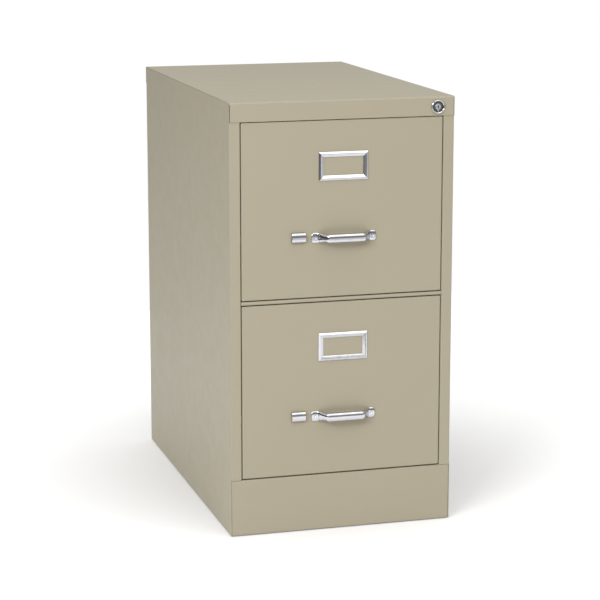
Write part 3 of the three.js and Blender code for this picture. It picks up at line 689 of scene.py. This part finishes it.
# ---------- thumb latches, sizes in millimetres ----------
BUTTON_SIDE = 1.0  # from the drawer's face to where the thumb piece's round front starts
STEM_HALF = (4.0, 2.8)  # half width and half height of the stem
STEM_FRONT = 0.6  # how far it stands in front of the drawer's face
STEM_REAR = 4.7  # how far it goes in behind the face
THUMB_RIVET = ((0, 2.4), (1.2, 2.3), (2.3, 1.8), (2.9, 1.0), (3.0, 0.3), (0, 0.3))
SPRING_WIRE = 0.5  # radius of its wire
SPRING_TURNS = 5
SPRING_STEPS = 180
WIRE_SIDES = 10


def make_thumb_piece(level):
    """A half-round thumb piece with flat ends."""
    node = f"{level}_thumb_button"
    low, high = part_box(node)
    centre = (low.z + high.z) / 2
    side = BUTTON_SIDE * MM
    back = FITTING_GAP * MM
    outline = [(out + side, z) for out, z in dome((high.z - low.z) / 2, FRONT - low.y - side)]
    outline = [(back, outline[0][1])] + outline + [(back, outline[-1][1])]
    rings = [[(x, FRONT - out, centre + z) for out, z in outline] for x in (low.x, high.x)]
    body = f"{level}_thumb_latch"
    piece = add_piece(f"{level}_thumb_piece", lofted(rings), CHROME, body, [node], sharp=38)
    round_edges(piece, 0.6 * MM, above=50)


def make_thumb_stem(level):
    """The stem through the drawer's face, and the rivet head behind the latch slide."""
    low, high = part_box(f"{level}_thumb_button")
    x = (low.x + high.x) / 2
    z = (low.z + high.z) / 2
    half_x, half_z = (half * MM for half in STEM_HALF)
    corners = [
        (x - half_x, z - half_z),
        (x + half_x, z - half_z),
        (x + half_x, z + half_z),
        (x - half_x, z + half_z),
    ]
    rings = [[(a, FRONT + y * MM, b) for a, b in corners] for y in (-STEM_FRONT, STEM_REAR)]
    body = f"{level}_thumb_latch"
    stem = add_piece(f"{level}_thumb_stem", lofted(rings), CHROME, body)
    round_edges(stem, 0.3 * MM, above=50)
    slide_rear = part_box(f"{level}_latch_slide")[1].y
    rivet = turned(THUMB_RIVET, facing("rear", x, slide_rear, z), 24)
    add_piece(f"{level}_thumb_rivet", rivet, ZINC, body)


def make_latch_spring(level):
    """The coil that pushes the latch out."""
    node = f"{level}_latch_spring"
    low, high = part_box(node)
    centre = (low + high) / 2
    length = high.x - low.x
    wire = SPRING_WIRE * MM
    radius = (high.z - low.z) / 2 - wire
    rings = []
    for k in range(SPRING_STEPS + 1):
        angle = 2 * math.pi * SPRING_TURNS * k / SPRING_STEPS
        out = Vector((0, math.cos(angle), math.sin(angle)))
        x = low.x + wire + (length - 2 * wire) * k / SPRING_STEPS
        middle = Vector((x, centre.y, centre.z)) + out * radius
        ring = []
        for j in range(WIRE_SIDES):
            around = 2 * math.pi * j / WIRE_SIDES
            ring.append(middle + out * wire * math.cos(around) + Vector((wire * math.sin(around), 0, 0)))
        rings.append(ring)
    piece = add_piece(f"{level}_spring_coil", lofted(rings), ZINC, f"{level}_drawer", [node], sharp=60)
    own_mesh(piece)


# ---------- lock, sizes in millimetres ----------
LOCK_BORE = 8.8  # radius of the hole that the plug turns in
RING_BACK = 0.3  # from the top panel's lip to the back of the ring
RING_ROUND = 1.2  # rounding of the ring's outer edge
RING_ROUND_STEPS = 6
BARREL_STEP = 1.9  # how much smaller in radius the barrel behind the ring is
PLUG_RECESS = 2.6  # from the front of the plug's rim down to its face
SLOT_RADIUS = 1.1  # the hollow behind the keyway
SLOT_DEPTH = 6
SHANK_RADIUS = 3.0  # the thin end of the plug that carries the cam
SHANK_START = 4.0
KEYWAY = (0.95, 2.6)  # half width and half height
BOSS_RADIUS = 4.8
BOSS_STEPS = 96
RIB_HALF = 1.2  # half width of the rib from the boss down to the ring
RIB_END = 8.3  # radius at which it ends
TINY = 1e-6  # keeps a divisor off zero


def make_lock_ring():
    """The lock's housing: a ring in front of the top panel's lip and a barrel behind it."""
    low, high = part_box("lock_housing")
    centre = (low + high) / 2
    radius = (high.x - low.x) / 2 / MM
    proud = (CAP_FRONT - low.y) / MM
    depth = (high.y - CAP_FRONT) / MM
    barrel = radius - BARREL_STEP
    profile = [(LOCK_BORE, -depth), (LOCK_BORE, proud - 1.3), (LOCK_BORE + 0.25, proud - 0.9)]
    profile += [(LOCK_BORE + 0.9, proud - 0.25), (LOCK_BORE + 1.3, proud)]
    for k in range(RING_ROUND_STEPS + 1):
        angle = math.pi / 2 * (1 - k / RING_ROUND_STEPS)
        inward = RING_ROUND * (1 - math.cos(angle))
        down = RING_ROUND * (1 - math.sin(angle))
        profile.append((radius - inward, proud - down))
    profile += [(radius, RING_BACK), (barrel, RING_BACK), (barrel, -depth)]
    ring = turned(profile, facing("front", centre.x, CAP_FRONT, centre.z), 64, closed=True)
    add_piece("lock_ring", ring, CHROME, "case", ["lock_housing"], sharp=50)


def boss_reach(angle):
    """Outer edge of the plug's boss and its rib, by angle from 12 o'clock."""
    if math.cos(angle) < 0 and abs(math.sin(angle)) * BOSS_RADIUS < RIB_HALF:
        return min(RIB_END, RIB_HALF / max(abs(math.sin(angle)), TINY))
    return BOSS_RADIUS


def keyway_reach(angle):
    """Edge of the keyway, by angle from 12 o'clock."""
    across = KEYWAY[0] / max(abs(math.sin(angle)), TINY)
    up = KEYWAY[1] / max(abs(math.cos(angle)), TINY)
    return min(across, up)


def plug_barrel(proud, depth, radius):
    """Profile of the plug: a hollow behind the keyway, a recessed face, a rim and a shank."""
    face = proud - PLUG_RECESS
    shank = SHANK_START - depth
    profile = [(0, face - SLOT_DEPTH), (SLOT_RADIUS, face - SLOT_DEPTH), (SLOT_RADIUS, face)]
    profile += [(radius - 0.7, face), (radius - 0.5, proud - 0.7), (radius - 0.2, proud - 0.4)]
    profile += [(radius, proud - 0.7), (radius, shank + 0.2), (SHANK_RADIUS + 0.2, shank)]
    profile += [(SHANK_RADIUS, shank), (SHANK_RADIUS, -depth), (0, -depth)]
    return profile


def plug_boss(place, proud):
    """The boss round the keyway, with its rib: a section at every angle, closed to a ring."""
    base = proud - PLUG_RECESS - 0.2
    rings = []
    for k in range(BOSS_STEPS):
        angle = 2 * math.pi * (k + 0.5) / BOSS_STEPS
        across = Vector((math.sin(angle), math.cos(angle), 0))
        outer = boss_reach(angle)
        inner = keyway_reach(angle)
        section = [(outer, base), (outer, proud - 0.9), (outer - 0.35, proud - 0.6)]
        section += [(inner, proud - 0.6), (inner, base)]
        rings.append([place @ ((across * r + Vector((0, 0, h))) * MM) for r, h in section])
    return lofted(rings, closed=True)


def make_lock_plug():
    """The plug: a dark recessed face with a bright boss round the keyway and a rib at 6 o'clock."""
    low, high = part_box("lock_plug")
    place = facing("front", (low.x + high.x) / 2, CAP_FRONT, (low.z + high.z) / 2)
    proud = (CAP_FRONT - low.y) / MM
    depth = (high.y - CAP_FRONT) / MM
    radius = (high.x - low.x) / 2 / MM
    barrel = turned(plug_barrel(proud, depth, radius), place, 48)
    add_piece("lock_barrel", barrel, LOCK_CORE, "lock_plug", ["lock_plug"], sharp=40)
    add_piece("lock_boss", plug_boss(place, proud), ZINC, "lock_plug", sharp=40)


# ---------- rollers, axles and glides, sizes in millimetres ----------
ROLLER_BORE = 3.3
ROLLER_HUB = 4.4
AXLE_HEAD = ((0, 0.75), (1.6, 0.7), (2.9, 0.5), (3.7, 0.2), (3.9, 0.0), (0, 0.0))
AXLE_HEAD_GAP = 0.1
GLIDE_FOOT = (  # (radius, height) from the middle of its foot, round its rim and up its locknut
    (0, 0.0),
    (11.5, 0.0),
    (13.2, 0.3),
    (13.9, 1.1),
    (14.0, 2.2),
    (13.6, 3.2),
    (12.6, 4.0),
    (9.5, 4.8),
    (6.5, 5.4),
    (4.6, 5.6),
    (4.0, 6.2),
)
THREAD_START = 7.0
THREAD_PITCH = 1.25
THREAD_ROOT = 3.45
THREAD_CREST = 3.95
STEM_POINT = 3.0  # radius of the stem's end
STEM_CHAMFER = 0.8


def make_roller(node):
    """A nylon roller: crowned tread, recessed cheeks and a hub round the axle."""
    low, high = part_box(node)
    centre = (low + high) / 2
    half = (high.x - low.x) / 2 / MM
    radius = (high.z - low.z) / 2 / MM
    cheek = half - 1.2
    side = [(ROLLER_BORE, half), (ROLLER_HUB - 0.3, half), (ROLLER_HUB, half - 0.3), (ROLLER_HUB, cheek)]
    side += [(radius - 1.9, cheek), (radius - 1.8, half - 0.3), (radius - 1.0, half - 0.2)]
    side += [(radius - 0.3, half - 0.8), (radius, half - 1.8)]
    profile = side + [(r, -h) for r, h in reversed(side)]
    wheel = turned(profile, facing("right", centre.x, centre.y, centre.z), 40, closed=True)
    add_piece(f"{node}_wheel", wheel, NYLON, node, [node], sharp=40)


def make_axle_head(node, body, side):
    """The upset head that keeps a roller on its axle; side is the one that it faces."""
    low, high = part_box(node)
    gap = AXLE_HEAD_GAP * MM
    x = high.x + gap if side == "right" else low.x - gap
    place = facing(side, x, (low.y + high.y) / 2, (low.z + high.z) / 2)
    add_piece(f"{node}_axle_head", turned(AXLE_HEAD, place, 24), ZINC, body)


def make_glide(end, hand):
    """A levelling glide: a pressed foot with a rolled rim, a locknut flat and a threaded stem."""
    node = f"glide_{end}_{hand}"
    low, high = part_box(node)
    top = high.z / MM
    thread_end = top - STEM_CHAMFER
    profile = list(GLIDE_FOOT)
    height = THREAD_START
    while height + THREAD_PITCH < thread_end:
        profile += [(THREAD_ROOT, height), (THREAD_CREST, height + THREAD_PITCH / 2)]
        height += THREAD_PITCH
    profile += [(THREAD_ROOT, thread_end), (STEM_POINT, top), (0, top)]
    place = Matrix.Translation(((low.x + high.x) / 2, (low.y + high.y) / 2, 0))
    add_piece(f"glide_foot_{end}_{hand}", turned(profile, place, 40), GLIDE_METAL, node, [node], sharp=30)


# ---------- the whole cabinet ----------
def make_suspension(level, hand):
    """The two rollers on one side of a drawer; their axle heads face away from their rails."""
    other = "right" if hand == "left" else "left"
    case_roller = f"{level}_case_roller_{hand}"
    drawer_roller = f"{level}_drawer_roller_{hand}"
    make_roller(case_roller)
    make_roller(drawer_roller)
    make_axle_head(case_roller, "case", other)
    make_axle_head(drawer_roller, f"{level}_drawer", hand)


make_studio()
for level in LEVELS:
    make_pull(level)
    make_pull_rivets(level)
    make_label_holder(level)
    make_thumb_piece(level)
    make_thumb_stem(level)
    make_latch_spring(level)
    for hand in HANDS:
        make_suspension(level, hand)
make_lock_ring()
make_lock_plug()
for end in ENDS:
    for hand in HANDS:
        make_glide(end, hand)
finish_cad_nodes()
